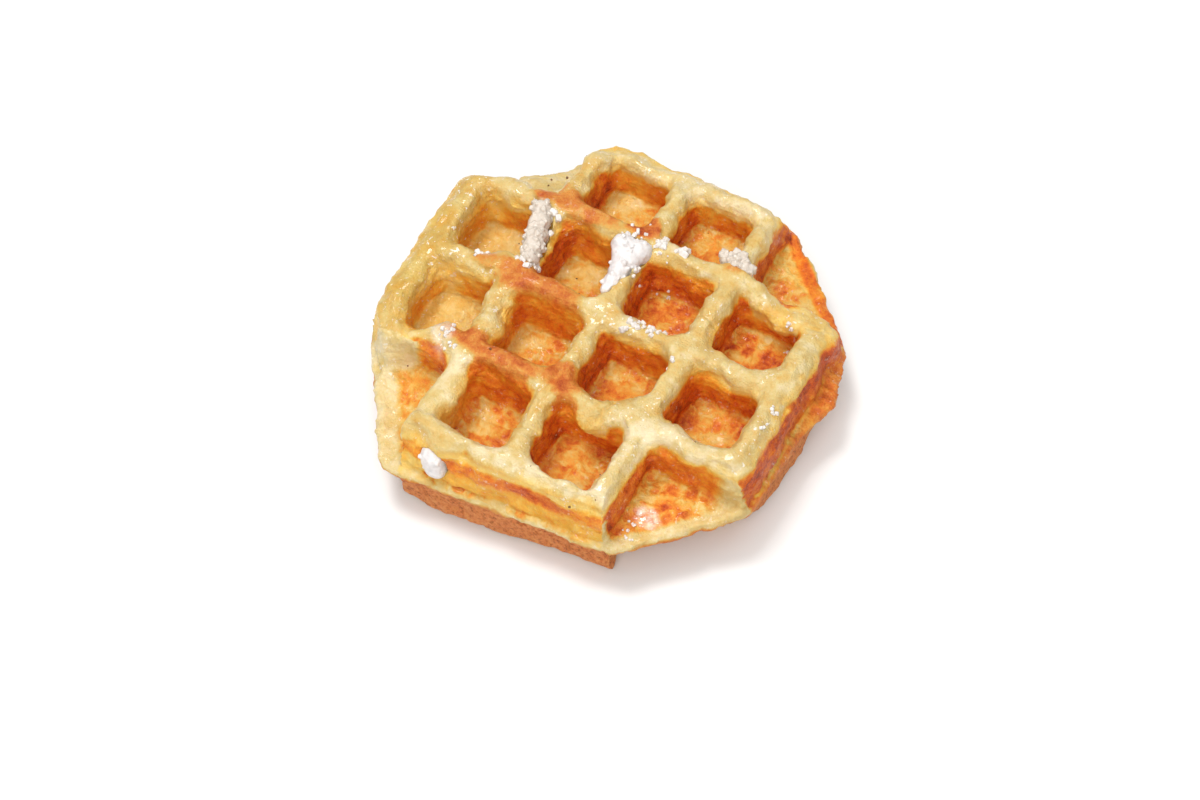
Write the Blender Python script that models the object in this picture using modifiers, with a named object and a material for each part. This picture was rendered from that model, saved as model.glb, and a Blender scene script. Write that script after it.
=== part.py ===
"""A liege waffle: an eight-sided slab of pearl-sugar dough, baked between two grids of four by four pockets.

Metres, +Z up. The waffle lies flat on its lower ridges, X and Y run along the ridges, and the origin is on
the surface under the middle of the waffle's outline.
"""

import math

import bmesh
import bpy
from mathutils import Vector, noise

MM = 0.001

# The iron's grid.
PITCH = 27 * MM  # from the middle of one ridge to the middle of the next
CELLS = 4
OUTLINE_ROUND = 7 * MM
HEIGHT = 33 * MM
PARTING = 15.5 * MM  # height of the seam where the two halves of the iron meet

# The eight sides, counterclockwise from +X: the direction each faces in degrees, and its distance from the
# middle of the grid. The batter filled the iron unevenly, so no two are quite alike.
SIDES = (
    (-2.0, 60.2 * MM),
    (45.0, 62.4 * MM),
    (87.5, 59.3 * MM),
    (135.0, 61.5 * MM),
    (182.5, 61.4 * MM),
    (215.0, 63.4 * MM),
    (273.4, 58.4 * MM),
    (315.0, 63.4 * MM),
)

# The pockets. The four corner ones are cut off by the outline and open to the side.
POCKET = 20 * MM  # a pocket's width below its rounded lip
POCKET_ROUND = 3.0 * MM
UPPER_FLOOR = 17.0 * MM
LOWER_FLOOR = 12.5 * MM
OPEN_REACH = 34 * MM  # how far past its inner corner a corner pocket is cleared

# How far a pocket's wall stands out from its nominal width, at heights from its floor (0) to its crest (1).
POCKET_PROFILE = (
    (0.0, -1.0 * MM),
    (0.06, -0.4 * MM),
    (0.72, 0.1 * MM),
    (0.87, 0.6 * MM),
    (0.96, 1.6 * MM),
    (1.10, 3.8 * MM),
)

# The side of the whole slab: height, and how far it stands out from the nominal reach.
SIDE_PROFILE = (
    (0.0, -3.6 * MM),
    (1.2 * MM, -1.0 * MM),
    (5.0 * MM, 0.8 * MM),
    (13.9 * MM, 0.2 * MM),
    (14.7 * MM, 1.4 * MM),
    (16.3 * MM, 1.5 * MM),
    (17.3 * MM, 0.1 * MM),
    (25.0 * MM, -0.7 * MM),
    (30.5 * MM, -2.0 * MM),
    (33.0 * MM, -5.2 * MM),
)

# Dough that ran into the seam, and a side of the lower half that bulges: direction in degrees, how far it
# stands out, and its half width in degrees.
SEAM_TIPS = ((11.5, 8.5 * MM, 6.0), (51.0, 3.4 * MM, 13.0), (-117.5, 2.2 * MM, 5.0))
LOWER_BELLIES = ((-99.0, 2.2 * MM, 15.0), (-69.0, -1.6 * MM, 8.0), (-4.0, 1.4 * MM, 15.0))

# How much dough filled the upper corner pockets, by where they lie: its depth at the pocket's inner corner,
# and at the outline.
FILLED_CORNERS = {(-1, 1): (9.5 * MM, 0.8 * MM), (-1, -1): (0.6 * MM, -0.4 * MM)}
EMPTY = (0.0, 0.0)

# How the crest rose or fell short: X, Y, half length and half width from the middle of the grid, and the
# rise, all in millimetres.
CREST = (
    (-20.0, 28.0, 17.0, 7.0, 1.6),
    (-22.0, 0.5, 17.0, 7.0, 1.8),
    (-14.0, -26.5, 21.0, 7.0, 1.6),
    (5.0, 60.0, 62.0, 11.0, -4.4),
    (-12.0, 57.0, 6.0, 8.0, -1.6),
    (-60.0, -4.0, 9.0, 34.0, -2.2),
    (-44.0, 0.0, 8.0, 6.0, -1.2),
    (-50.0, -38.0, 14.0, 11.0, -5.0),
    (-29.0, -46.0, 7.0, 10.0, -1.8),
    (51.0, 27.0, 13.0, 8.0, -3.8),
    (42.0, 0.0, 12.0, 6.0, -0.8),
)

# Lumps of pearl sugar, each a run of grains that melted together: X, Y, Z and radius of every grain, from
# the middle of the grid, in millimetres.
SUGAR = {
    "pearl_sugar_large": (
        (-4.8, 22.8, 32.0, 3.6), (-0.4, 23.2, 32.0, 3.4), (-2.4, 18.8, 31.8, 3.8), (-2.2, 14.6, 31.6, 3.0),
        (-2.6, 10.8, 31.4, 2.4), (-2.8, 7.8, 31.2, 1.9),
    ),
    "pearl_sugar_long": (
        (-31.0, 22.4, 33.0, 2.8), (-29.8, 18.8, 32.8, 3.2), (-28.6, 14.6, 32.6, 3.2),
        (-27.4, 10.6, 32.4, 3.0), (-26.6, 7.4, 32.2, 2.5),
    ),
    "pearl_sugar_edge": ((22.2, 32.4, 31.4, 2.2), (25.6, 32.8, 31.6, 2.5), (28.6, 31.4, 31.4, 2.2)),
    "pearl_sugar_nugget": ((-20.6, -57.2, 24.4, 3.5), (-19.2, -58.0, 21.4, 3.2)),
}
SUGAR_GAP = 0.6 * MM  # clear space round each lump in its seat
SUGAR_VOXEL = 0.9 * MM
SUGAR_SHARE = 0.2  # share of the remeshed triangles that a lump keeps

CRUST = ((0.80, 0.47, 0.16), 0.55)
PEARL_SUGAR = ((0.93, 0.90, 0.84), 0.25)


def clear_scene():
    for thing in list(bpy.data.objects):
        bpy.data.objects.remove(thing, do_unlink=True)


def new_collection(name):
    collection = bpy.data.collections.new(name)
    bpy.context.scene.collection.children.link(collection)
    return collection


def new_material(name, finish):
    colour, roughness = finish
    material = bpy.data.materials.new(name)
    material.use_nodes = True
    shader = material.node_tree.nodes["Principled BSDF"]
    shader.inputs["Base Color"].default_value = (*colour, 1.0)
    shader.inputs["Roughness"].default_value = roughness
    shader.inputs["Metallic"].default_value = 0.0
    material.diffuse_color = (*colour, 1.0)
    return material


def new_object(name, mesh, collection):
    thing = bpy.data.objects.new(name, mesh)
    collection.objects.link(thing)
    return thing


def unevenness(x, y, z, grain, seed):
    """A smooth value from about -1 to 1 that wanders over lengths of about one grain."""
    return noise.noise(Vector((x / grain + seed, y / grain - seed, z / grain + 2 * seed)))


def rounded(corners, radius, arc_steps, side_steps):
    """The points round a polygon, counterclockwise, with each corner turned on an arc."""
    points = []
    count = len(corners)
    for index, corner in enumerate(corners):
        to_last = (corners[index - 1] - corner).normalized()
        to_next = (corners[(index + 1) % count] - corner).normalized()
        half_angle = to_last.angle(to_next) / 2
        middle = corner + (to_last + to_next).normalized() * radius / math.sin(half_angle)
        start = corner + to_last * radius / math.tan(half_angle) - middle
        sweep = math.pi - 2 * half_angle
        arc = []
        for step in range(arc_steps + 1):
            turn = sweep * step / arc_steps
            arc.append(middle + Vector((
                start.x * math.cos(turn) - start.y * math.sin(turn),
                start.x * math.sin(turn) + start.y * math.cos(turn),
            )))
        points.append(arc)
    outline = []
    for index, arc in enumerate(points):
        outline += arc
        following = points[(index + 1) % count][0]
        for step in range(1, side_steps):
            outline.append(arc[-1].lerp(following, step / side_steps))
    return outline


def loft(name, rings):
    """A closed mesh through rings of as many points each, from the lowest ring to the highest."""
    mesh = bpy.data.meshes.new(name)
    shape = bmesh.new()
    rows = [[shape.verts.new(point) for point in ring] for ring in rings]
    count = len(rows[0])
    for low, high in zip(rows, rows[1:]):
        for index in range(count):
            following = (index + 1) % count
            shape.faces.new((low[index], low[following], high[following], high[index]))
    shape.faces.new(list(reversed(rows[0])))
    shape.faces.new(rows[-1])
    bmesh.ops.triangulate(shape, faces=shape.faces)
    bmesh.ops.recalc_face_normals(shape, faces=shape.faces)
    shape.to_mesh(mesh)
    shape.free()
    return mesh


def octagon_corners(grow):
    """The eight corners of the outline, counterclockwise, with every side moved out by grow."""
    lines = [(math.radians(degrees), reach + grow) for degrees, reach in SIDES]
    corners = []
    for index, (angle, reach) in enumerate(lines):
        last_angle, last_reach = lines[index - 1]
        scale = math.sin(angle - last_angle)
        corners.append(Vector((
            (last_reach * math.sin(angle) - reach * math.sin(last_angle)) / scale,
            (reach * math.cos(last_angle) - last_reach * math.cos(angle)) / scale,
        )))
    return corners


def bulge(point, bulges):
    """How far a list of bulges makes the dough stand out at this point of the outline."""
    direction = math.degrees(math.atan2(point.y, point.x))
    reach = 0.0
    for towards, length, half_width in bulges:
        away = (direction - towards + 180) % 360 - 180
        reach += length * math.exp(-((away / half_width) ** 2) * 1.6)
    return reach


def slab():
    rings = []
    for height, grow in SIDE_PROFILE:
        in_seam = max(0.0, 1 - abs(height - PARTING) / (1.7 * MM))
        ring = []
        for point in rounded(octagon_corners(grow), OUTLINE_ROUND + grow, 3, 4):
            wander = 0.7 * MM * unevenness(point.x, point.y, height, 16 * MM, 3.1)
            outward = wander * min(1.0, height / (2 * MM)) + bulge(point, SEAM_TIPS) * in_seam
            if height < PARTING:
                outward += bulge(point, LOWER_BELLIES) * (1 - in_seam)
            lift = 0.8 * MM * in_seam * unevenness(point.x, point.y, 0, 22 * MM, 7.7)
            place = point + point.normalized() * outward
            ring.append((place.x, place.y, height + lift))
        rings.append(ring)
    return loft("waffle", rings)


def is_corner(column, row):
    return column in (0, CELLS - 1) and row in (0, CELLS - 1)


def outward_signs(column, row):
    return (1 if column else -1, 1 if row else -1)


def grown(corners, grow, height):
    """One ring of a cutter: the polygon with rounded corners, every point moved out by its unevenness."""
    ring = []
    middle = sum(corners, Vector((0, 0))) / len(corners)
    for point in rounded(corners, POCKET_ROUND + max(grow, -1.5 * MM) * 0.6, 2, 2):
        wander = 0.9 * MM * unevenness(point.x, point.y, height, 9 * MM, 1.7)
        place = point + (point - middle).normalized() * wander
        ring.append((place.x, place.y, height))
    return ring


def square_corners(low_x, high_x, low_y, high_y):
    return [Vector(pair) for pair in ((low_x, low_y), (high_x, low_y), (high_x, high_y), (low_x, high_y))]


def square_pocket(column, row, floor, crest):
    """The rings of a cutter for one four-sided pocket, from its floor to just past its crest."""
    middle = (CELLS - 1) / 2
    centre_x = (column - middle) * PITCH
    centre_y = (row - middle) * PITCH
    rings = []
    for share, grow in POCKET_PROFILE:
        half = POCKET / 2 + grow
        corners = square_corners(centre_x - half, centre_x + half, centre_y - half, centre_y + half)
        rings.append(grown(corners, grow, floor + (crest - floor) * share))
    return rings


def corner_pocket(toward_x, toward_y, floor, crest, filled):
    """The rings of a cutter for one corner: a square that reaches out past the outline over its own floor."""
    inner = ((CELLS - 1) * PITCH - POCKET) / 2
    outline = SIDES[1][1] * math.sqrt(2)
    rings = []
    for share, grow in POCKET_PROFILE:
        near = inner - grow
        far = inner + OPEN_REACH
        ends_x = sorted((near * toward_x, far * toward_x))
        ends_y = sorted((near * toward_y, far * toward_y))
        ring = []
        for x, y, z in grown(square_corners(*ends_x, *ends_y), grow, floor + (crest - floor) * share):
            outward = (abs(x) + abs(y) - 2 * inner) / (outline - 2 * inner)
            left = filled[0] + (filled[1] - filled[0]) * outward
            ring.append((x, y, z + left * (1 - share)))
        rings.append(ring)
    return rings


def pocket(side, column, row, floor, crest, filled):
    if is_corner(column, row):
        rings = corner_pocket(*outward_signs(column, row), floor, crest, filled)
    else:
        rings = square_pocket(column, row, floor, crest)
    if floor > crest:
        rings.reverse()
    return loft(f"{side}_pocket_{column}_{row}", rings)


def sugar_lump(name, grains, swell, collection):
    """Grains melted into one lump; swell makes each of them larger, for the seat that the lump sits in."""
    mesh = bpy.data.meshes.new(name)
    shape = bmesh.new()
    for x, y, z, radius in grains:
        ball = bmesh.ops.create_icosphere(shape, subdivisions=2, radius=radius * MM + swell)
        bmesh.ops.translate(shape, verts=ball["verts"], vec=Vector((x, y, z)) * MM)
    shape.to_mesh(mesh)
    shape.free()
    lump = new_object(name, mesh, collection)
    remesh = lump.modifiers.new("Melt together", "REMESH")
    remesh.mode = "VOXEL"
    remesh.voxel_size = SUGAR_VOXEL
    thin = lump.modifiers.new("Thin", "DECIMATE")
    thin.ratio = SUGAR_SHARE
    return lump


def cut(thing, cutter):
    boolean = thing.modifiers.new(cutter.name, "BOOLEAN")
    boolean.operation = "DIFFERENCE"
    boolean.solver = "EXACT"
    boolean.object = cutter


def make_cutter(thing):
    thing.hide_render = True
    thing.display_type = "WIRE"
    return thing


def freeze(thing):
    """Gives the object the mesh that its modifiers make."""
    shown = thing.evaluated_get(bpy.context.evaluated_depsgraph_get())
    mesh = bpy.data.meshes.new_from_object(shown)
    thing.modifiers.clear()
    thing.data = mesh


def risen_by(x, y, z):
    """How far the dough stands above the iron's crest here: nothing at the pocket floors, most at the top."""
    share = max(0.0, (z - UPPER_FLOOR) / (HEIGHT - UPPER_FLOOR))
    height = 0.8 * MM * unevenness(x, y, 0, 21 * MM, 5.3) + 0.5 * MM * unevenness(x, y, 0, 8 * MM, 9.1)
    for middle_x, middle_y, length, width, crest_rise in CREST:
        away = ((x / MM - middle_x) / length) ** 2 + ((y / MM - middle_y) / width) ** 2
        height += crest_rise * MM * math.exp(-away)
    return share * height


def rise(thing):
    for vertex in thing.data.vertices:
        x, y, z = vertex.co
        vertex.co.z = z + risen_by(x, y, z)


def settle(things):
    """Moves everything so that the middle of the waffle's outline is over the origin."""
    corners = [vertex.co for vertex in things[0].data.vertices]
    middle_x = (min(c.x for c in corners) + max(c.x for c in corners)) / 2
    middle_y = (min(c.y for c in corners) + max(c.y for c in corners)) / 2
    for thing in things:
        for vertex in thing.data.vertices:
            vertex.co.x -= middle_x
            vertex.co.y -= middle_y


def main():
    clear_scene()
    parts = new_collection("liege_waffle")
    cutters = new_collection("cutters")
    waffle = new_object("waffle", slab(), parts)
    for column in range(CELLS):
        for row in range(CELLS):
            filled = FILLED_CORNERS.get(outward_signs(column, row), EMPTY)
            upper = pocket("upper", column, row, UPPER_FLOOR, HEIGHT, filled)
            lower = pocket("lower", column, row, LOWER_FLOOR, 0.0, EMPTY)
            for mesh in (upper, lower):
                cut(waffle, make_cutter(new_object(mesh.name, mesh, cutters)))
    lumps = []
    for name, grains in SUGAR.items():
        seat = sugar_lump(f"seat_of_{name}", grains, SUGAR_GAP, cutters)
        cut(waffle, make_cutter(seat))
        lumps.append(sugar_lump(name, grains, 0.0, parts))
    for thing in [waffle] + lumps:
        freeze(thing)
        rise(thing)
    settle([waffle] + lumps)
    waffle.data.materials.clear()
    waffle.data.materials.append(new_material("crust", CRUST))
    for lump in lumps:
        lump.data.materials.clear()
        lump.data.materials.append(new_material(lump.name, PEARL_SUGAR))
        lump.data.shade_smooth()


main()
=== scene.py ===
"""Looks of a liege waffle: its baked dough, the pearl sugar melted into it, and a plain studio."""

import math

import bmesh
import bpy
import numpy as np
from mathutils import Matrix, Vector
from mathutils.bvhtree import BVHTree


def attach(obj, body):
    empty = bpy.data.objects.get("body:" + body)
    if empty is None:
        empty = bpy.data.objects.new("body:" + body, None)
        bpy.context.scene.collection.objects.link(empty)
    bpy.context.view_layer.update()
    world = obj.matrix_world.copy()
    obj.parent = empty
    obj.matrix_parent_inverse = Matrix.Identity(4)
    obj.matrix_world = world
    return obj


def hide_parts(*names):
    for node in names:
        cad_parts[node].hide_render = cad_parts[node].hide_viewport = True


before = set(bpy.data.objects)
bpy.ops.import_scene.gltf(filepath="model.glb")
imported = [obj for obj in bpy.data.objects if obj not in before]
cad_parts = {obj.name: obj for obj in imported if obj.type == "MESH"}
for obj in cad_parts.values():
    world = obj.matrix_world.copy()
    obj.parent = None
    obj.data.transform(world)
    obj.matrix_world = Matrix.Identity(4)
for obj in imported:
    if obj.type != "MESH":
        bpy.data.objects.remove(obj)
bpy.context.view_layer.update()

MM = 0.001

# The iron's grid, in millimetres. Grid coordinates have their origin under the middle of the grid.
GRID_MIDDLE = np.array((-1.157, 0.354, 0.0))
PITCH = 27.0
HEIGHT = 33.0
SEAM = 15.5
UPPER_FLOOR = 17.0
LOWER_FLOOR = 12.5
CORNERS_BEYOND = 30.0
SIDES = (
    (-2.0, 60.2), (45.0, 62.4), (87.5, 59.3), (135.0, 61.5),
    (182.5, 61.4), (215.0, 63.4), (273.4, 58.4), (315.0, 63.4),
)

# How finely the dough and the sugar are shaped, and how many triangles the dough may have.
CRUST_VOXEL = 0.50 * MM
LUMP_VOXEL = 0.40 * MM
GRAIN_VOXEL = 0.20 * MM
CRUST_TRIANGLES = 195000

# A height that is clear of the whole waffle.
OVERHEAD = 60.0 * MM

# The end of the -X ridge slumped, down to a line across the corner pocket beside it: a place on that line,
# the way across it, and how high the slumped dough stands.
SLUMP_PLACE = (-37.5, -29.3)
SLUMP_ACROSS = (0.515, -0.858)
SLUMP_HEIGHT = HEIGHT - 3.4

# The studio's lights: name, place, size and power. The camera's place is in grid coordinates.
LIGHTS = (
    ("window", (-0.30, 0.08, 1.1), 0.3, 5.7),
    ("ceiling", (0.0, 0.05, 1.1), 1.4, 7.9),
    ("fill", (0.35, -0.85, 0.9), 0.9, 8.2),
)
CAMERA_PLACE = np.array((164.37, -274.62, 480.16))


# ---------------------------------------------------------------- numbers


def smooth(low, high, value):
    share = np.clip((value - low) / (high - low), 0.0, 1.0)
    return share * share * (3.0 - 2.0 * share)


def chance(cells, seed):
    """An even random value from 0 to 1 for every row of whole numbers."""
    stirred = cells[:, 0] * 73856093 ^ cells[:, 1] * 19349663 ^ cells[:, 2] * 83492791 ^ seed * 2654435761
    stirred = (stirred ^ (stirred >> 13)) * 1274126177 & 0x7FFFFFFF
    return ((stirred ^ (stirred >> 16)) & 0xFFFF) / 65535.0


def wander(points, size, seed):
    """A smooth value from about -1 to 1 at each point, that changes over lengths of about size."""
    scaled = points / size
    corner = np.floor(scaled).astype(np.int64)
    share = scaled - corner
    share = share * share * (3.0 - 2.0 * share)
    total = np.zeros(len(points))
    for step in range(8):
        offset = np.array((step & 1, step >> 1 & 1, step >> 2 & 1))
        weight = np.prod(np.where(offset, share, 1.0 - share), axis=1)
        total += weight * chance(corner + offset, seed)
    return 2.0 * total - 1.0


def to_grain(points, size, seed):
    """How far each point is from the nearest of many scattered grains, as a share of their size."""
    scaled = points / size
    home = np.floor(scaled).astype(np.int64)
    nearest = np.full(len(points), 9.0)
    for step in range(27):
        cell = home + np.array((step % 3 - 1, step // 3 % 3 - 1, step // 9 - 1))
        middle = cell + np.stack([chance(cell, seed + axis) for axis in range(3)], axis=1)
        nearest = np.minimum(nearest, np.sum((scaled - middle) ** 2, axis=1))
    return np.sqrt(nearest)


def places(thing):
    """The object's vertices in grid coordinates."""
    flat = np.empty(len(thing.data.vertices) * 3, np.float32)
    thing.data.vertices.foreach_get("co", flat)
    return flat.reshape(-1, 3).astype(np.float64) / MM - GRID_MIDDLE


def move_to(thing, points):
    thing.data.vertices.foreach_set("co", ((points + GRID_MIDDLE) * MM).astype(np.float32).ravel())
    thing.data.update()


def directions(thing):
    flat = np.empty(len(thing.data.vertices) * 3, np.float32)
    thing.data.vertex_normals.foreach_get("vector", flat)
    return flat.reshape(-1, 3).astype(np.float64)


def inset(points):
    """How far inside the waffle's outline each point lies."""
    inside = np.full(len(points), 1e3)
    for degrees, reach in SIDES:
        angle = math.radians(degrees)
        inside = np.minimum(inside, reach - points[:, 0] * math.cos(angle) - points[:, 1] * math.sin(angle))
    return inside


def in_ellipse(points, patch, edge):
    """1 inside a patch and 0 outside its soft, ragged edge.

    A patch begins with its X, Y, half length, half width and turn in degrees.
    """
    x, y, length, width, turn = patch[:5]
    angle = math.radians(turn)
    away = points[:, :2] - np.array((x, y))
    along = (away[:, 0] * math.cos(angle) + away[:, 1] * math.sin(angle)) / length
    across = (away[:, 1] * math.cos(angle) - away[:, 0] * math.sin(angle)) / width
    reach = np.sqrt(along ** 2 + across ** 2) + 0.22 * wander(points, 3.5, 14)
    reach += 0.12 * wander(points, 1.4, 15)
    return 1.0 - smooth(1.0 - edge, 1.0 + edge, reach)


# ---------------------------------------------------------------- modelling


def deselect():
    bpy.ops.object.select_all(action="DESELECT")


def activate(thing):
    deselect()
    thing.select_set(True)
    bpy.context.view_layer.objects.active = thing


def finish_with(thing, kind, **settings):
    """Adds a modifier and applies it."""
    modifier = thing.modifiers.new(kind.title(), kind)
    for name, value in settings.items():
        setattr(modifier, name, value)
    activate(thing)
    bpy.ops.object.modifier_apply(modifier=modifier.name)


def copy_of_node(node, name):
    """A merged copy of a CAD node, as a piece of its own."""
    thing = bpy.data.objects.new(name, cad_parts[node].data.copy())
    thing.data.name = name
    thing.data.materials.clear()
    bpy.context.scene.collection.objects.link(thing)
    shape = bmesh.new()
    shape.from_mesh(thing.data)
    bmesh.ops.remove_doubles(shape, verts=shape.verts, dist=0.001 * MM)
    shape.to_mesh(thing.data)
    shape.free()
    return thing


class Dough:
    """What the surface of the dough is at each of its vertices: crest, wall, floor, outer side or seam."""

    def __init__(self, thing):
        self.points = points = places(thing)
        self.facing = directions(thing)
        height = points[:, 2]
        self.upper = smooth(SEAM - 0.4, SEAM + 0.4, height)
        self.inside = inset(points)
        corner = np.min(np.abs(points[:, :2]), axis=1) > CORNERS_BEYOND
        crest_height = crest_heights(points)
        crest_height = np.where(corner, np.maximum(crest_height, HEIGHT - 2.0), crest_height)
        crest_height = np.where(height > SEAM, crest_height, 0.0)
        self.depth = np.clip(np.abs(crest_height - height), 0.0, 20.0)
        self.crest = 1.0 - smooth(1.5, 5.0, self.depth)
        self.in_cell = (points[:, :2] + PITCH * 2.0) % PITCH - PITCH / 2.0
        floor_height = np.where(height > SEAM, UPPER_FLOOR, LOWER_FLOOR)
        near_floor = 1.0 - smooth(0.7, 2.2, np.abs(height - floor_height))
        in_square = 1.0 - smooth(9.0, 10.5, np.max(np.abs(self.in_cell), axis=1))
        self.floor = near_floor * np.where(corner, smooth(0.8, 2.4, self.inside), in_square)
        self.outer = (1.0 - smooth(3.0, 5.5, self.inside)) * np.where(corner, 0.0, 1.0) * (1.0 - self.crest)
        self.seam = (1.0 - smooth(1.0, 2.2, np.abs(height - SEAM))) * (1.0 - smooth(0.5, 2.0, self.inside))
        self.corner = corner
        self.southwest = corner * (points[:, 0] < 0) * (points[:, 1] < 0)


def with_neighbours(heights, blend, reach, axis):
    """Blends each row of a height map with the rows up to reach away on both sides."""
    return blend([np.roll(heights, shift, axis) for shift in range(-reach, reach + 1)], axis=0)


def crest_heights(points):
    """The height of the ridges round each point of the upper half, read off a coarse map of the surface."""
    cell = 1.5
    size = 96
    columns = np.clip(((points[:, 0] / cell) + size / 2).astype(int), 0, size - 1)
    rows = np.clip(((points[:, 1] / cell) + size / 2).astype(int), 0, size - 1)
    heights = np.zeros((size, size))
    np.maximum.at(heights, (columns, rows), points[:, 2])
    for axis in (0, 1):
        heights = with_neighbours(heights, np.max, 5, axis)
    for axis in (0, 1, 0, 1):
        heights = with_neighbours(heights, np.mean, 2, axis)
    return heights[columns, rows]


# Where the dough bulged or sank: X, Y, Z and radius of the place, and its push along X, Y and Z.
BULGES = (
    (13.0, -31.0, 29.0, 4.6, 0.0, -3.8, 0.4),
    (22.0, -22.5, 30.0, 4.6, -2.4, 2.6, 0.5),
    (-24.5, -17.0, 29.0, 3.6, 2.2, 0.0, 0.8),
    (-30.0, -8.0, 30.0, 3.6, -1.6, 0.0, 0.4),
    (-26.5, -11.5, 31.0, 1.8, 0.0, 0.0, -2.4),
    (-36.0, -24.0, 30.0, 4.5, 0.0, 3.0, 0.6),
    (31.0, 54.0, 30.0, 6.0, -0.6, -1.2, -2.6),
    (-48.5, 13.0, 19.0, 6.0, -2.4, 0.0, 0.0),
    (-48.5, -14.0, 19.0, 6.0, -2.4, 0.0, 0.0),
    (-58.0, 25.5, 27.0, 4.5, -1.8, 0.4, 0.2),
    (-50.5, 32.0, 28.0, 4.5, 0.0, -1.6, -1.0),
    (-45.0, 39.0, 22.0, 8.0, -1.2, 1.4, 1.6),
    (-5.0, 56.0, 31.0, 4.0, 0.0, 0.8, 0.8),
    (-12.5, 56.0, 32.0, 3.2, 0.0, -0.8, -1.4),
    (-33.5, 4.0, 31.0, 4.0, 0.0, 3.4, 0.4),
    (24.5, -4.0, 31.0, 4.0, -0.8, -0.8, 1.0),
    (42.0, 30.0, 30.0, 6.5, 0.0, -1.2, -2.2),
    (54.0, 29.0, 30.0, 5.0, 0.0, -3.0, -1.2),
    (45.0, 22.0, 26.0, 5.0, 0.0, -1.5, -0.8),
    (43.0, -3.0, 28.0, 6.0, 0.0, -1.2, 0.0),
    (13.0, -3.0, 28.0, 5.0, 0.0, -1.0, 0.0),
    (34.5, 3.5, 30.0, 3.0, 0.0, 1.4, 0.0),
    (34.5, -22.5, 29.0, 4.0, 0.0, 2.6, 0.0),
    (4.5, -49.0, 31.0, 4.0, 0.0, 2.4, 0.0),
    (-22.0, -49.0, 31.0, 3.5, 0.0, 1.2, 0.0),
    (50.0, 5.0, 30.0, 3.5, 0.0, 2.0, 0.0),
    (-15.0, 4.0, 33.0, 5.0, 0.0, 0.8, 0.2),
    (-16.0, -23.0, 33.0, 6.0, 0.0, 0.8, 0.2),
    (-22.0, -41.0, 29.0, 6.0, 1.6, 0.0, 0.2),
    (-27.0, -59.5, 31.0, 5.5, 0.4, 3.4, -0.6),
    (-12.0, -59.5, 31.0, 5.5, 0.0, 1.4, 0.0),
    (-46.0, -24.5, 31.0, 6.0, 0.0, -2.4, -2.8),
    (59.0, -34.0, 21.0, 5.0, 0.8, 0.0, 3.0),
    (60.5, -30.0, 2.0, 6.5, -2.5, 5.5, 0.0),
    (30.0, -55.0, 2.0, 4.0, 2.0, 0.0, 0.0),
)

# Browned places on the ridges, where the dough pressed flat against the iron: X, Y, half length, half width,
# turn in degrees and how brown.
BROWNED = (
    (-22.5, 29.0, 14.0, 4.4, -6.0, 0.50),
    (-31.5, 30.0, 5.0, 5.0, 0.0, 0.52),
    (-21.5, -0.6, 14.0, 5.8, -2.0, 0.56),
    (-20.0, -25.0, 17.0, 4.6, -3.0, 0.58),
    (2.0, -24.5, 6.6, 5.6, 0.0, 0.56),
    (-2.5, 31.0, 5.0, 4.4, 0.0, 0.64),
    (26.0, 29.5, 3.6, 2.2, 0.0, 0.42),
    (-36.0, 1.0, 6.0, 3.0, 0.0, 0.40),
)

# Cracks in the crest: start, end, half width and depth.
CRACKS = (
    ((-3.5, -42.5), (5.0, -40.6), 0.5, 1.0),
    ((15.8, -31.5), (17.2, -24.5), 0.5, 1.4),
    ((24.5, 12.0), (29.5, 10.5), 0.45, 0.8),
    ((-6.5, -15.0), (-4.0, -15.5), 0.45, 0.8),
    ((31.0, 27.0), (37.0, 24.5), 0.45, 0.7),
)


def from_line(points, start, end):
    along = np.array(end) - np.array(start)
    away = points[:, :2] - np.array(start)
    share = np.clip(away @ along / (along @ along), 0.0, 1.0)
    return np.linalg.norm(away - share[:, None] * along, axis=1)


def pressed(points):
    """1 where the iron browned the crest."""
    share = np.zeros(len(points))
    for patch in BROWNED:
        share = np.maximum(share, in_ellipse(points, patch, 0.2))
    return share


def slump(dough):
    """How far the end of the -X ridge has slumped over the corner pocket beside it."""
    x, y = dough.points[:, 0], dough.points[:, 1]
    beyond = SLUMP_ACROSS[0] * (x - SLUMP_PLACE[0]) + SLUMP_ACROSS[1] * (y - SLUMP_PLACE[1])
    share = (1.0 - smooth(-7.0, 4.0, beyond)) * (1.0 - smooth(-45.0, -37.0, x))
    return dough.southwest * share * smooth(-0.5, 3.5, dough.inside)


def sag(thing):
    """Lets the end of the -X ridge slump."""
    dough = Dough(thing)
    points = dough.points
    raised = slump(dough) * smooth(SEAM, SEAM + 1.5, points[:, 2])
    points[:, 2] += raised * np.maximum(SLUMP_HEIGHT - points[:, 2], 0.0)
    move_to(thing, points)


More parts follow.
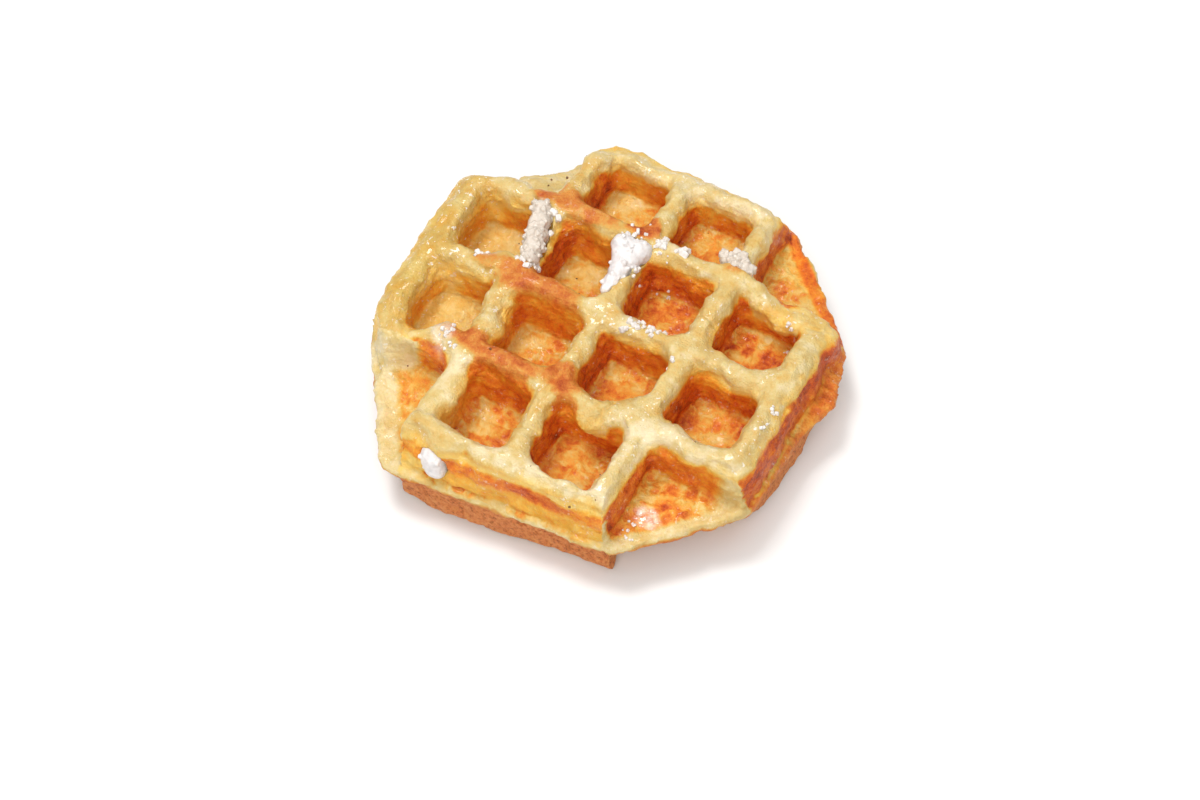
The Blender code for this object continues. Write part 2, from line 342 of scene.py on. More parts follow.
def knead(thing):
    """Gives the dough its puffed, uneven surface."""
    dough = Dough(thing)
    points = dough.points
    flat = pressed(points) * dough.upper
    puffed = dough.upper * (1.0 - dough.floor) * (1.0 - 0.75 * flat)
    push = 0.95 * wander(points, 6.0, 1) + 0.52 * wander(points, 2.9, 2) + 0.20 * wander(points, 1.4, 3)
    blisters = 1.0 - smooth(0.10, 0.42, to_grain(points, 2.3, 33))
    push += 0.22 * blisters * dough.crest
    push *= 0.25 + 0.75 * puffed
    wrinkles = (1.0 - np.abs(wander(points * np.array((1.0, 1.0, 2.5)), 4.0, 4))) ** 6
    push += dough.upper * (1.0 - dough.crest) * (0.50 * wrinkles - 0.12)
    folds = (1.0 - np.abs(wander(points * np.array((1.0, 1.3, 1.0)), 3.4, 34))) ** 4
    creases = (1.0 - np.abs(wander(points, 1.9, 38))) ** 4
    push += dough.upper * dough.floor * (0.75 * folds + 0.35 * creases - 0.3)
    push += flat * dough.crest * (0.5 - 0.16 * (1.0 - smooth(0.1, 0.5, to_grain(points, 1.3, 40))))
    lower_side = (1.0 - dough.upper) * (1.0 - smooth(0.5, 4.0, dough.inside)) * smooth(0.5, 3.0, points[:, 2])
    pits = 1.0 - smooth(0.15, 0.5, to_grain(points, 2.4, 6))
    push += lower_side * (0.35 * wander(points, 2.2, 5) - 0.35 * pits)
    push += dough.seam * (0.4 + 0.4 * wander(points, 4.5, 7) + 0.15 * wander(points, 1.2, 8))
    push *= smooth(0.0, 1.5, points[:, 2])
    points = points + dough.facing * push[:, None]
    for x, y, z, radius, push_x, push_y, push_z in BULGES:
        near = np.exp(-np.sum((points - np.array((x, y, z))) ** 2, axis=1) / radius ** 2)
        points += near[:, None] * np.array((push_x, push_y, push_z))
    for start, end, width, sunk in CRACKS:
        near = np.exp(-(from_line(points, start, end) / width) ** 2) * dough.crest * dough.upper
        points[:, 2] -= near * sunk
    points[:, 2] = np.maximum(points[:, 2], 0.0)
    move_to(thing, points)


# ---------------------------------------------------------------- how the dough browned


# Where the pale crest reaches further down a wall than elsewhere, or less far: X, Y, half length, half width,
# turn in degrees and how much further.
PALE_LIPS = (
    (43.0, 24.0, 9.0, 4.0, 0.0, 5.5),
    (14.0, -3.5, 9.0, 4.0, 0.0, 2.6),
    (-42.0, 24.5, 11.0, 5.0, 0.0, 3.6),
    (-42.0, -3.5, 10.0, 4.0, 0.0, 2.8),
    (42.0, -3.5, 10.0, 4.0, 0.0, 3.0),
    (15.0, -30.5, 4.5, 4.0, 0.0, 5.0),
    (0.0, 51.0, 30.0, 4.5, 0.0, 3.0),
    (-51.0, -10.0, 4.0, 12.0, 0.0, 2.0),
    (-24.0, -40.0, 3.0, 12.0, 0.0, 0.4),
    (-14.0, 24.0, 9.0, 4.0, 0.0, -0.6),
    (-14.0, -3.5, 10.0, 4.0, 0.0, -2.2),
    (-16.0, -30.5, 9.0, 4.0, 0.0, -2.6),
    (42.0, -31.0, 16.0, 4.0, 0.0, 1.6),
    (5.0, -30.0, 5.0, 4.0, 0.0, -2.5),
)

# Walls painted paler, or darker: partly where they browned less or more, partly painted light on walls that
# lie in shade: X, Y, half length, half width, turn in degrees and how much paler.
LIGHT_WALLS = (
    (-50.5, 0.0, 6.0, 32.0, 0.0, 0.34),
    (-14.0, -2.0, 9.0, 5.0, 0.0, 0.06),
    (-41.0, 25.0, 11.0, 5.0, 0.0, 0.07),
    (-14.0, 25.0, 9.0, 5.0, 0.0, 0.10),
    (-14.0, 52.0, 9.0, 5.0, 0.0, 0.14),
    (-40.0, -3.0, 10.0, 5.0, 0.0, 0.15),
    (-24.0, -14.0, 4.0, 9.0, 0.0, 0.26),
    (-24.0, -41.0, 4.0, 9.0, 0.0, 0.31),
    (13.5, 25.0, 9.0, 5.0, 0.0, -0.05),
    (12.0, 52.0, 9.0, 5.0, 0.0, 0.13),
    (-25.0, -59.0, 7.0, 8.0, 0.0, 0.20),
)

# How brown the floor of each upper pocket is, by rows from -Y and columns from -X. The two middle floors of
# the -X column are set paler, partly as painted light where the -X ridge shades them.
FLOOR_BROWN = np.array((
    (0.44, 0.58, 0.48, 0.52),
    (0.10, 0.42, 0.56, 0.52),
    (0.10, 0.38, 0.54, 0.60),
    (0.20, 0.38, 0.47, 0.46),
))

# Paler places in the pockets, where sugar or steam kept the dough from browning: X, Y, half length,
# half width, turn in degrees and how much paler.
PALER = (
    (36.5, -9.0, 5.0, 2.2, -62.0, 0.26),
    (42.0, -14.0, 4.0, 1.6, 30.0, 0.18),
    (11.5, -8.5, 6.0, 2.8, -20.0, 0.26),
    (-17.0, -37.5, 5.4, 3.6, -60.0, 0.30),
    (39.5, 22.4, 6.0, 1.2, 0.0, 0.22),
    (40.5, 17.5, 5.0, 1.5, 80.0, 0.24),
    (-17.5, 18.5, 6.5, 2.6, 25.0, 0.24),
    (-46.0, 17.5, 4.6, 4.0, 0.0, 0.18),
    (-17.5, 47.0, 5.0, 3.6, 0.0, 0.24),
    (12.0, 44.0, 6.0, 2.0, 20.0, 0.14),
    (8.5, -38.0, 4.5, 2.0, 55.0, 0.20),
    (-20.0, -9.0, 5.0, 3.0, 10.0, 0.18),
    (40.0, -37.0, 8.0, 1.6, 15.0, 0.22),
    (12.0, 14.0, 4.0, 2.0, 40.0, 0.10),
    (42.5, 45.0, 18.0, 4.5, -45.0, 0.20),
)

# The palest stretches of the ridges: X, Y, half length, half width, turn in degrees and how much paler.
CREAMY = (
    (12.0, -53.5, 24.0, 5.5, 0.0, 0.10),
    (6.0, 52.0, 34.0, 7.0, 0.0, 0.07),
    (40.0, -29.0, 14.0, 5.0, 0.0, 0.10),
    (-27.0, -38.0, 4.5, 12.0, 0.0, 0.08),
    (27.0, -40.0, 5.0, 15.0, 0.0, 0.08),
    (58.0, -34.0, 7.0, 6.0, 0.0, 0.10),
)


def in_patches(points, patches, edge):
    """The sum of the patches' last values at each point, each fading over its edge."""
    return sum(patch[5] * in_ellipse(points, patch, edge) for patch in patches)


def wall_brown(dough):
    """How brown the pocket walls and the outer walls of the upper half are painted, with painted shade where
    they face +X and painted light on some shaded walls.
    """
    points = dough.points
    starts = 3.2 + 1.0 * wander(points, 5.0, 11) + 0.5 * wander(points, 1.8, 12) - 1.8 * pressed(points)
    starts += in_patches(points, PALE_LIPS, 0.3) - 1.3 * smooth(0.2, 0.8, -dough.facing[:, 1])
    below = smooth(starts, starts + 2.6, dough.depth)
    # Walls that face +X, away from the window lamp, are painted browner: painted shade.
    painted_east_shade = smooth(0.25, 0.85, dough.facing[:, 0])
    # LIGHT_WALLS paints some walls paler: partly their own lighter browning, partly painted light where they
    # lie in shade.
    shade = 0.52 + 0.13 * painted_east_shade + 0.06 * smooth(7.0, 13.0, dough.depth) - in_patches(points, LIGHT_WALLS, 0.4)
    shade += 0.10 * wander(points, 6.0, 18) + 0.08 * wander(points * np.array((1.0, 1.0, 0.4)), 1.8, 19)
    return below * shade


def floor_brown(dough):
    """How brown the floors of the upper pockets are."""
    points = dough.points
    columns = np.clip(np.floor(points[:, 0] / PITCH + 2.0), 0, 3).astype(int)
    rows = np.clip(np.floor(points[:, 1] / PITCH + 2.0), 0, 3).astype(int)
    shade = FLOOR_BROWN[rows, columns] - in_patches(points, PALER, 0.35)
    ridges = 1.0 - np.abs(wander(points, 3.2, 21))
    creases = 1.0 - np.abs(wander(points, 1.8, 22))
    shade += 0.18 * wander(points, 4.0, 23) + 0.13 * wander(points, 1.5, 24)
    shade -= 0.24 * smooth(0.80, 0.98, ridges) + 0.14 * smooth(0.75, 0.98, creases)
    fold = np.exp(-((dough.in_cell[:, 1] - 8.8) / 0.45) ** 2) * smooth(-0.4, 0.1, wander(points, 5.0, 25))
    return shade - 0.16 * fold


def pale_corners(dough):
    """1 where the dough of a corner pocket stayed as pale as the ridges."""
    x, y = dough.points[:, 0], dough.points[:, 1]
    northwest = smooth(34.0, 40.0, y - x) * (x < 0) * (y > 0)
    wide_rim = 1.0 - smooth(3.6, 6.0, dough.inside + 1.2 * wander(dough.points, 3.0, 39))
    southwest = dough.southwest * np.maximum(wide_rim, smooth(0.05, 0.3, slump(dough)))
    thin_rim = 1.0 - smooth(1.6, 3.2, dough.inside + 0.6 * wander(dough.points, 5.0, 37))
    tip = smooth(48.5, 53.5, x + wander(dough.points, 4.0, 41))
    southeast = np.maximum(thin_rim, tip) * (x > 0) * (y < 0)
    northeast = (1.0 - smooth(-3.0, -1.8, dough.inside)) * (x > 0) * (y > 0)
    return np.clip(northwest + southwest + southeast + northeast, 0.0, 1.0) * dough.corner * dough.upper


def bake(dough):
    """How brown the crust is painted at each point: 0 for pale dough, 1 for the darkest, with painted shade
    on sides that face +X and painted light in some shaded places.
    """
    points = dough.points
    wall = wall_brown(dough)
    outer = dough.outer
    outward = dough.facing
    south = smooth(0.3, 0.8, -outward[:, 1]) * (1.0 - smooth(-54.0, -46.0, points[:, 1]))
    # Outer walls and the seam that face +X, away from the window lamp, are painted browner: painted shade.
    painted_east_shade = smooth(0.4, 0.9, outward[:, 0])
    strip = smooth(5.2, 6.8, dough.depth) * (1.0 - 0.6 * smooth(9.5, 11.5, dough.depth))
    patchy = 0.75 + 0.25 * smooth(-0.4, 0.3, wander(points, 9.0, 13)) + 0.12 * wander(points, 2.5, 20)
    side = 0.12 + (0.14 + 0.40 * south) * strip * patchy + 0.50 * painted_east_shade * smooth(4.0, 6.5, dough.depth)
    # LIGHT_WALLS paints some outer walls paler too: partly their own lighter browning, partly painted light.
    side -= in_patches(points, LIGHT_WALLS, 0.4)
    brown = wall * (1.0 - outer) + side * outer
    brown = brown * (1.0 - dough.floor) + floor_brown(dough) * dough.floor
    pale = 0.155 + 0.07 * wander(points, 4.0, 16) + 0.07 * wander(points, 1.7, 17)
    pale -= in_patches(points, CREAMY, 0.5)
    brown = np.maximum(brown, pale)
    flat = np.zeros(len(points))
    for patch in BROWNED:
        flat = np.maximum(flat, patch[5] * in_ellipse(points, patch, 0.42))
    brown = np.maximum(brown, flat * (1.0 + 0.16 * wander(points, 2.6, 35)) * dough.crest)
    northeast = dough.corner * (points[:, 0] > 0) * (points[:, 1] > 0) * smooth(0.2, 0.6, outward[:, 2])
    seam = dough.seam * (1.0 - northeast)
    brown = brown * (1.0 - seam) + (0.12 + 0.42 * painted_east_shade + 0.10 * wander(points, 3.0, 26)) * seam
    flange = smooth(59.5, 61.5, points[:, 0]) * smooth(-38.0, -28.0, points[:, 1]) * (1.0 - dough.crest)
    brown = np.maximum(brown, flange * (0.50 + 0.10 * wander(points, 3.0, 36)))
    unbrowned = pale_corners(dough)
    # The corner pockets' unbrowned colour. The slumped -X,-Y corner is painted paler still: partly its own
    # pale colour, partly painted light on a slope that lies in shade.
    corner_shade = 0.12 + 0.07 * wander(points, 4.0, 27) - 0.08 * dough.southwest
    brown = brown * (1.0 - unbrowned) + corner_shade * unbrowned
    underside = 0.34 + 0.14 * smooth(2.0, 6.0, dough.depth) + 0.10 * wander(points, 9.0, 28)
    brown = brown * dough.upper + underside * (1.0 - dough.upper)
    return np.clip(brown, 0.0, 1.0)


# Sugar that melted into the crust: X, Y, half length, half width, turn in degrees and how white.
MELTED = (
    (-36.0, -25.5, 6.0, 3.2, -52.0, 0.75),
    (36.5, -44.0, 4.0, 2.6, -20.0, 0.95),
    (-33.0, 24.0, 2.5, 2.0, 0.0, 0.6),
    (13.0, 4.0, 7.0, 1.6, 20.0, 0.6),
    (8.0, 28.0, 3.6, 1.6, 0.0, 0.6),
    (-38.0, 3.6, 3.0, 1.6, 20.0, 0.6),
)


def store(thing, name, values):
    layer = thing.data.attributes.new(name, "FLOAT", "POINT")
    layer.data.foreach_set("value", values.astype(np.float32))


def paint(thing):
    """Stores on each vertex what the crust's material needs to know of the place."""
    dough = Dough(thing)
    points = dough.points
    store(thing, "bake", bake(dough))
    lip = dough.seam * (1.0 - smooth(0.4, 0.9, dough.facing[:, 0])) * (1.0 - dough.corner)
    # Where the crust takes the pockets' brighter colours, which are partly painted light. The floors take a
    # little less of them.
    deep = (1.0 - dough.crest) * (1.0 - pale_corners(dough)) * (1.0 - 0.8 * lip) * (1.0 - 0.45 * dough.floor)
    store(thing, "deep", deep * dough.upper)
    below = (1.0 - smooth(SEAM - 1.6, SEAM - 0.5, points[:, 2])) * (1.0 - smooth(2.0, 5.0, dough.inside))
    store(thing, "side", below * smooth(0.15, 0.5, 1.0 - np.abs(dough.facing[:, 2])))
    # The glaze of molten sugar gives the coat its gloss. It also places the painted highlights: near-white
    # glints painted into the colour. The -X crest gets more of both.
    wet = smooth(-0.3, 0.3, wander(points, 5.0, 31)) * (0.35 + 0.65 * dough.crest)
    west = 1.0 - smooth(-52.0, -42.0, points[:, 0])
    store(thing, "glaze_and_glints", np.clip(wet + 0.5 * west, 0.0, 1.0) * dough.upper * (1.0 - 0.8 * pressed(points)))
    golden = (1.0 - smooth(-56.0, -38.0, points[:, 0] + 0.25 * points[:, 1])) * dough.upper
    store(thing, "gold", golden * (0.3 + 0.7 * smooth(-34.0, -18.0, points[:, 1])))
    melted = np.zeros(len(points))
    for patch in MELTED:
        melted = np.maximum(melted, patch[5] * in_ellipse(points, patch, 0.35))
    store(thing, "melted", melted * dough.upper)


# ---------------------------------------------------------------- materials


def linear(*channels):
    """A colour given as on a screen, 0 to 255, in the values that a shader wants."""
    shares = [channel / 255.0 for channel in channels]
    return tuple(s / 12.92 if s <= 0.04045 else ((s + 0.055) / 1.055) ** 2.4 for s in shares) + (1.0,)


def new_node(tree, kind, **inputs):
    made = tree.nodes.new(kind)
    for name, value in inputs.items():
        made.inputs[name.replace("_", " ")].default_value = value
    return made


def ramp(tree, source, stops):
    made = tree.nodes.new("ShaderNodeValToRGB")
    elements = made.color_ramp.elements
    while len(elements) < len(stops):
        elements.new(0.5)
    for element, (place, colour) in zip(elements, stops):
        element.position = place
        element.color = colour
    tree.links.new(source, made.inputs["Fac"])
    return made.outputs["Color"]


def maths(tree, operation, first, second, clamp=False):
    made = tree.nodes.new("ShaderNodeMath")
    made.operation = operation
    made.use_clamp = clamp
    for socket, value in zip(made.inputs, (first, second)):
        if isinstance(value, (int, float)):
            socket.default_value = value
        else:
            tree.links.new(value, socket)
    return made.outputs["Value"]


def mix_colours(tree, share, first, second, blend="MIX"):
    made = tree.nodes.new("ShaderNodeMix")
    made.data_type = "RGBA"
    made.blend_type = blend
    for socket, value in ((made.inputs[0], share), (made.inputs[6], first), (made.inputs[7], second)):
        if isinstance(value, (int, float, tuple)):
            socket.default_value = value
        else:
            tree.links.new(value, socket)
    return made.outputs[2]


def attribute(tree, name):
    made = tree.nodes.new("ShaderNodeAttribute")
    made.attribute_name = name
    return made.outputs["Fac"]


def crumb_group():
    """Fine noise over the object, spread evenly from 0 to 1."""
    group = bpy.data.node_groups.new("crumb", "ShaderNodeTree")
    face = group.interface
    face.new_socket("Scale", in_out="INPUT", socket_type="NodeSocketFloat").default_value = 1.0
    face.new_socket("Detail", in_out="INPUT", socket_type="NodeSocketFloat").default_value = 4.0
    face.new_socket("Value", in_out="OUTPUT", socket_type="NodeSocketFloat")
    entry = group.nodes.new("NodeGroupInput")
    leave = group.nodes.new("NodeGroupOutput")
    where = group.nodes.new("ShaderNodeTexCoord")
    noise = new_node(group, "ShaderNodeTexNoise", Roughness=0.66)
    group.links.new(where.outputs["Object"], noise.inputs["Vector"])
    group.links.new(entry.outputs["Scale"], noise.inputs["Scale"])
    group.links.new(entry.outputs["Detail"], noise.inputs["Detail"])
    stretch = group.nodes.new("ShaderNodeMapRange")
    stretch.inputs["From Min"].default_value = 0.3
    stretch.inputs["From Max"].default_value = 0.7
    group.links.new(noise.outputs["Fac"], stretch.inputs["Value"])
    group.links.new(stretch.outputs["Result"], leave.inputs["Value"])
    return group


CRUMB = crumb_group()


def crumb(tree, scale, detail=4.0):
    made = tree.nodes.new("ShaderNodeGroup")
    made.node_tree = CRUMB
    made.inputs["Scale"].default_value = scale
    made.inputs["Detail"].default_value = detail
    return made.outputs["Value"]


def new_material(name, **constants):
    material = bpy.data.materials.new(name)
    material.use_nodes = True
    tree = material.node_tree
    shader = tree.nodes["Principled BSDF"]
    for socket, value in constants.items():
        shader.inputs[socket.replace("_", " ")].default_value = value
    return material, tree, shader


def crust_material():
    material, tree, shader = new_material(
        "baked_dough",
        Subsurface_Weight=0.12,
        Subsurface_Scale=0.003,
        Subsurface_Radius=(1.0, 0.45, 0.2),
        Coat_Roughness=0.06,
        Specular_IOR_Level=0.4,
    )
    baked = attribute(tree, "bake")
    coarse = maths(tree, "SUBTRACT", crumb(tree, 330.0, 6.0), 0.5)
    fine = maths(tree, "SUBTRACT", crumb(tree, 1400.0, 4.0), 0.5)
    change = maths(tree, "ADD", maths(tree, "MULTIPLY", coarse, 0.54), maths(tree, "MULTIPLY", fine, 0.22))
    reach = maths(tree, "ADD", maths(tree, "MULTIPLY", baked, 0.8), 0.18)
    browned = maths(tree, "ADD", baked, maths(tree, "MULTIPLY", change, reach), clamp=True)
    colour = ramp(tree, browned, (
        (0.00, linear(240, 222, 182)),
        (0.12, linear(224, 198, 134)),
        (0.26, linear(218, 175, 92)),
        (0.42, linear(220, 146, 62)),
        (0.58, linear(206, 110, 38)),
        (0.76, linear(172, 66, 16)),
        (1.00, linear(96, 28, 6)),
    ))
    gold = ramp(tree, browned, (
        (0.00, linear(228, 204, 132)),
        (0.14, linear(214, 178, 92)),
        (0.32, linear(214, 154, 50)),
        (0.60, linear(216, 118, 26)),
        (1.00, linear(110, 36, 6)),
    ))
    colour = mix_colours(tree, attribute(tree, "gold"), colour, gold)
    # The colours of the pockets and outer walls, brighter than the ridges' at the same browning: partly their
    # own orange, partly painted light that offsets the shade deep in the pockets.
    deep_colour_painted_light = ramp(tree, browned, (
        (0.00, linear(248, 221, 150)),
        (0.14, linear(246, 205, 108)),
        (0.28, linear(244, 184, 68)),
        (0.42, linear(242, 157, 40)),
        (0.56, linear(232, 123, 22)),
        (0.74, linear(208, 83, 6)),
        (1.00, linear(122, 36, 4)),
    ))
    colour = mix_colours(tree, attribute(tree, "deep"), colour, deep_colour_painted_light)
    tinted = maths(tree, "MULTIPLY", crumb(tree, 190.0, 3.0), 0.30, clamp=True)
    colour = mix_colours(tree, tinted, colour, linear(220, 204, 132), "MULTIPLY")
    side_colour = ramp(tree, crumb(tree, 800.0, 6.0), (
        (0.0, linear(170, 84, 38)),
        (0.45, linear(234, 136, 72)),
        (1.0, linear(252, 176, 104)),
    ))
    side = attribute(tree, "side")
    colour = mix_colours(tree, side, colour, side_colour)
    melted = attribute(tree, "melted")
    white = maths(tree, "MULTIPLY", melted, crumb(tree, 500.0, 4.0), clamp=True)
    # Painted highlights: near-white glints painted into the colour where the glaze is. They are mixed in with
    # the melted sugar's own white.
    painted_glints = ramp(tree, crumb(tree, 750.0, 2.0), ((0.80, (0.0, 0.0, 0.0, 1.0)), (0.95, (1.0, 1.0, 1.0, 1.0))))
    white = maths(tree, "ADD", white, maths(tree, "MULTIPLY", painted_glints, attribute(tree, "glaze_and_glints")), clamp=True)
    tree.links.new(mix_colours(tree, white, colour, linear(248, 238, 220)), shader.inputs["Base Color"])
    glazed = maths(tree, "MULTIPLY", attribute(tree, "glaze_and_glints"), crumb(tree, 300.0, 2.0), clamp=True)
    tree.links.new(maths(tree, "MAXIMUM", glazed, melted), shader.inputs["Coat Weight"])
    rough = maths(tree, "ADD", 0.48, maths(tree, "MULTIPLY", side, 0.3))
    rough = maths(tree, "ADD", rough, maths(tree, "MULTIPLY", coarse, 0.15))
    tree.links.new(rough, shader.inputs["Roughness"])
    relief = maths(tree, "MULTIPLY", crumb(tree, 600.0, 5.0), 0.9)
    relief = maths(tree, "ADD", relief, crumb(tree, 1900.0, 3.0))
    relief = maths(tree, "MULTIPLY", relief, maths(tree, "ADD", 0.5, maths(tree, "MULTIPLY", side, 1.2)))
    bump = new_node(tree, "ShaderNodeBump", Strength=0.8, Distance=0.0005)
    tree.links.new(relief, bump.inputs["Height"])
    tree.links.new(bump.outputs["Normal"], shader.inputs["Normal"])
    return material


def mottled(tree, scale, colour, darkest):
    """The colour, with fine crumbs that go down to the given share of it."""
    dark = linear(*[channel * darkest for channel in colour])
    return ramp(tree, crumb(tree, scale), ((0.0, dark), (1.0, linear(*colour))))


def sugar_material(name, colour, glow, roughness):
    material, tree, shader = new_material(
        name,
        Subsurface_Weight=glow,
        Subsurface_Scale=0.002,
        Subsurface_Radius=(1.0, 0.9, 0.85),
        Roughness=roughness,
    )
    tree.links.new(mottled(tree, 600.0, colour, 0.92), shader.inputs["Base Color"])
    bump = new_node(tree, "ShaderNodeBump", Strength=0.5, Distance=0.0003)
    tree.links.new(crumb(tree, 1600.0), bump.inputs["Height"])
    tree.links.new(bump.outputs["Normal"], shader.inputs["Normal"])
    return material


def plain_material(name, colour, roughness):
    material, tree, shader = new_material(name, Roughness=roughness)
    tree.links.new(mottled(tree, 900.0, colour, 0.8), shader.inputs["Base Color"])
    return material


# ---------------------------------------------------------------- pieces


def hand_over(piece, slot, *nodes):
    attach(piece, "root")
    if nodes:
        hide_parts(*nodes)


def make_crust():
    crust = copy_of_node("waffle", "waffle_crust")
    finish_with(crust, "REMESH", mode="VOXEL", voxel_size=CRUST_VOXEL)
    sag(crust)
    finish_with(crust, "REMESH", mode="VOXEL", voxel_size=CRUST_VOXEL)
    finish_with(crust, "SMOOTH", factor=0.5, iterations=6)
    knead(crust)
    count = sum(len(face.vertices) - 2 for face in crust.data.polygons)
    finish_with(crust, "DECIMATE", ratio=CRUST_TRIANGLES / count)
    paint(crust)
    crust.data.shade_smooth()
    crust.data.materials.append(crust_material())
    hand_over(crust, "crust", "waffle")
    return crust


def crystal_shape():
    """One grain of sugar, a cube with broken edges, about 1 across."""
    deselect()
    bpy.ops.mesh.primitive_cube_add(size=1.0, location=(0.0, 0.0, 0.0))
    grain = bpy.context.object
    finish_with(grain, "BEVEL", width=0.16, segments=1)
    corners = np.array([tuple(vertex.co) for vertex in grain.data.vertices])
    corners += 0.07 * np.stack([wander(corners * 9.0 + 5.0, 2.0, 50 + axis) for axis in range(3)], axis=1)
    faces = [tuple(face.vertices) for face in grain.data.polygons]
    bpy.data.objects.remove(grain, do_unlink=True)
    return corners, faces


def turned(axis_angle):
    return np.array(Matrix.Rotation(axis_angle[3], 3, Vector(axis_angle[:3])))


def scatter(shape, centres, sizes, seed):
    """Copies of one shape at the centres, each turned and stretched its own way, as vertices and faces."""
    corners, faces = shape
    chances = np.random.default_rng(seed)
    all_corners = []
    all_faces = []
    for centre, size in zip(centres, sizes):
        turn = turned((*chances.normal(size=3), chances.uniform(0.0, math.pi)))
        stretch = chances.uniform(0.7, 1.25, 3)
        base = sum(len(rows) for rows in all_corners)
        all_corners.append((corners * stretch * size) @ turn.T + centre)
        all_faces += [tuple(index + base for index in face) for face in faces]
    return np.concatenate(all_corners), all_faces


def piece_from(name, corners, faces):
    mesh = bpy.data.meshes.new(name)
    mesh.from_pydata([tuple(row) for row in (corners + GRID_MIDDLE) * MM], [], faces)
    mesh.update()
    piece = bpy.data.objects.new(name, mesh)
    bpy.context.scene.collection.objects.link(piece)
    return piece


def make_lump(node, material, crystal, grain_size, count, seed):
    """A lump of pearl sugar: the CAD node's melted body, grown together with grains of sugar all over it."""
    body = copy_of_node(node, f"{node}_grains")
    finish_with(body, "REMESH", mode="VOXEL", voxel_size=LUMP_VOXEL)
    points = places(body)
    facing = directions(body)
    push = 0.4 + 0.12 * wander(points, 0.9, seed + 5) + 0.6 * wander(points, 3.2, seed + 6)
    points = points + facing * push[:, None]
    move_to(body, points)
    chances = np.random.default_rng(seed)
    high = np.flatnonzero(facing[:, 2] > -0.2)
    picked = chances.choice(high, count, replace=False)
    sizes = grain_size * chances.uniform(0.5, 1.3, count)
    stuck = points[picked] + 0.1 * facing[picked]
    grains = piece_from(f"{node}_crystals", *scatter(crystal, stuck, sizes, seed))
    deselect()
    grains.select_set(True)
    body.select_set(True)
    bpy.context.view_layer.objects.active = body
    bpy.ops.object.join()
    finish_with(body, "REMESH", mode="VOXEL", voxel_size=GRAIN_VOXEL)
    finish_with(body, "SMOOTH", factor=0.5, iterations=2)
    body.data.shade_smooth()
    body.data.materials.clear()
    body.data.materials.append(material)
    hand_over(body, "pearl_sugar", node)


def surface_of(crust):
    shape = bmesh.new()
    shape.from_mesh(crust.data)
    surface = BVHTree.FromBMesh(shape)
    shape.free()
    return surface


def on_surface(surface, x, y):
    """Where a line straight down meets the dough, in grid coordinates."""
    start = Vector(((x + GRID_MIDDLE[0]) * MM, (y + GRID_MIDDLE[1]) * MM, OVERHEAD))
    place = surface.ray_cast(start, Vector((0.0, 0.0, -1.0)))[0]
    if place is None:
        return None
    return np.array(place) / MM - GRID_MIDDLE


# Where loose grains of sugar lie: X, Y, spread, how many and how large.
LOOSE = (
    (11.0, 28.5, 0.9, 7, 1.7),
    (5.5, 27.0, 1.6, 12, 1.5),
    (19.5, 31.5, 0.8, 7, 1.5),
    (2.0, 16.5, 1.0, 8, 1.2),
    (9.0, 23.6, 1.6, 9, 0.8),
    (15.5, 2.5, 2.0, 14, 1.3),
    (18.5, 5.0, 1.0, 8, 1.2),
    (10.0, 0.5, 1.4, 10, 1.3),
    (-39.5, 3.4, 1.4, 10, 1.4),
    (-33.5, 9.5, 1.0, 7, 1.3),
    (-24.6, 5.2, 1.2, 10, 1.3),
    (-27.5, 5.0, 1.0, 8, 1.2),
    (-6.5, 6.5, 1.2, 9, 1.2),
    (-3.0, 26.8, 2.4, 12, 1.1),
    (-28.6, 22.5, 1.1, 12, 1.7),
    (-27.0, 17.5, 0.9, 8, 1.4),
    (-34.0, -24.0, 1.6, 8, 1.0),
    (-31.5, -28.5, 1.0, 6, 0.9),
    (35.0, -50.0, 1.8, 9, 0.8),
    (56.5, -7.0, 1.2, 5, 1.0),
    (56.0, -12.0, 1.2, 4, 0.9),
    (47.0, 21.5, 1.2, 6, 0.9),
    (24.0, -6.0, 1.2, 5, 0.9),
)


def make_loose_sugar(surface, crystal, material):
    chances = np.random.default_rng(7)
    centres = []
    sizes = []
    for x, y, spread, count, size in LOOSE:
        for _ in range(count):
            place = on_surface(surface, x + chances.normal() * spread, y + chances.normal() * spread)
            if place is not None:
                centres.append(place + np.array((0.0, 0.0, 0.1)))
                sizes.append(size * chances.uniform(0.5, 1.3))
    piece = piece_from("loose_sugar", *scatter(crystal, centres, sizes, 8))
    piece.data.materials.append(material)
    hand_over(piece, "pearl_sugar")


# Dark specks of burnt dough and sugar: X, Y and size.
SPECKS = (
    (20.5, -56.0, 0.5), (26.5, -52.5, 0.35), (42.0, -26.0, 0.4), (-20.0, -26.0, 0.55), (-39.9, 42.5, 0.6),
    (-36.4, 45.6, 0.75), (-38.9, 39.0, 0.5), (-38.5, 20.0, 0.35), (-17.5, 16.5, 0.45), (38.0, 30.0, 0.3),
    (3.5, 16.5, 0.6), (18.0, 5.0, 0.45), (19.5, -38.0, 0.3), (-44.0, -33.0, 0.4), (9.0, 48.0, 0.3),
    (-8.0, 2.0, 0.3), (33.0, -18.0, 0.3), (7.0, -52.0, 0.25), (-30.0, 47.0, 0.3),
)


def make_specks(surface, crystal, material):
    centres = []
    sizes = []
    for x, y, size in SPECKS:
        place = on_surface(surface, x, y)
        if place is not None:
            centres.append(place)
            sizes.append(size)
    piece = piece_from("dark_specks", *scatter(crystal, centres, sizes, 9))
    piece.data.materials.append(material)
    hand_over(piece, "crust")


# ---------------------------------------------------------------- studio


def make_floor():
    deselect()
    bpy.ops.mesh.primitive_plane_add(size=6.0, location=(0.0, 0.0, 0.0))
    floor = bpy.context.object
    floor.name = "floor"
    material, _, shader = new_material("pale_floor", Roughness=0.6)
    shader.inputs["Base Color"].default_value = linear(236, 236, 234)
    floor.data.materials.append(material)


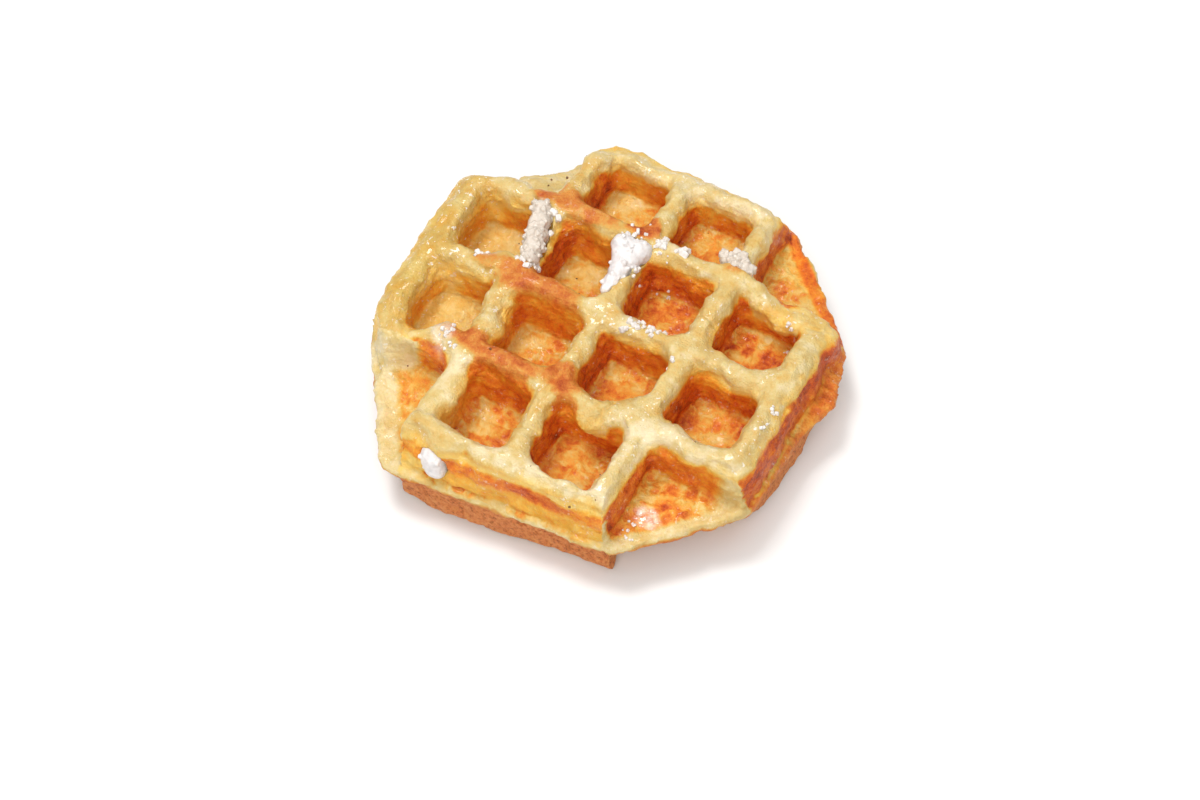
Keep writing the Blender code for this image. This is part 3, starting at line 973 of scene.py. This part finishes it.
def make_lights():
    world = bpy.data.worlds.new("studio")
    bpy.context.scene.world = world
    world.use_nodes = True
    world.node_tree.nodes["Background"].inputs["Color"].default_value = (0.97, 0.985, 1.0, 1.0)
    world.node_tree.nodes["Background"].inputs["Strength"].default_value = 0.27
    for name, place, size, power in LIGHTS:
        light = bpy.data.lights.new(name, "AREA")
        light.size = size
        light.energy = power
        lamp = bpy.data.objects.new(name, light)
        lamp.location = place
        lamp.rotation_euler = (-Vector(place)).to_track_quat("-Z", "Y").to_euler()
        bpy.context.scene.collection.objects.link(lamp)


def make_camera():
    """Looks down on the waffle from its +X, -Y side, a little turned about its own line of sight."""
    azimuth, elevation, roll = math.radians(31.23), math.radians(56.96), math.radians(-3.54)
    flat = math.cos(elevation)
    back = Vector((math.sin(azimuth) * flat, -math.cos(azimuth) * flat, math.sin(elevation)))
    level = Vector((math.cos(azimuth), math.sin(azimuth), 0.0))
    rise = back.cross(level)
    across = level * math.cos(roll) + rise * math.sin(roll)
    turned_to = Matrix((across, back.cross(across), back)).transposed()
    lens = bpy.data.cameras.new("camera")
    lens.lens = 60.0
    lens.sensor_width = 36.0
    lens.clip_start = 0.01
    camera = bpy.data.objects.new("camera", lens)
    place = (CAMERA_PLACE + GRID_MIDDLE) * MM
    camera.matrix_world = Matrix.Translation(tuple(place)) @ turned_to.to_4x4()
    bpy.context.scene.collection.objects.link(camera)
    bpy.context.scene.camera = camera


def main():
    crust = make_crust()
    surface = surface_of(crust)
    crystal = crystal_shape()
    white = sugar_material("white_sugar", (240, 234, 231), 0.5, 0.32)
    icy = sugar_material("half_melted_sugar", (224, 211, 196), 0.5, 0.16)
    make_lump("pearl_sugar_large", white, crystal, 1.1, 30, 61)
    make_lump("pearl_sugar_long", icy, crystal, 1.1, 70, 62)
    make_lump("pearl_sugar_edge", icy, crystal, 1.6, 34, 63)
    make_lump("pearl_sugar_nugget", white, crystal, 0.9, 8, 64)
    make_loose_sugar(surface, crystal, sugar_material("loose_grain", (242, 234, 226), 0.0, 0.22))
    make_specks(surface, crystal, plain_material("burnt_speck", (124, 78, 38), 0.6))
    make_floor()
    make_lights()
    make_camera()
    bpy.context.scene.view_settings.view_transform = "Standard"


main()
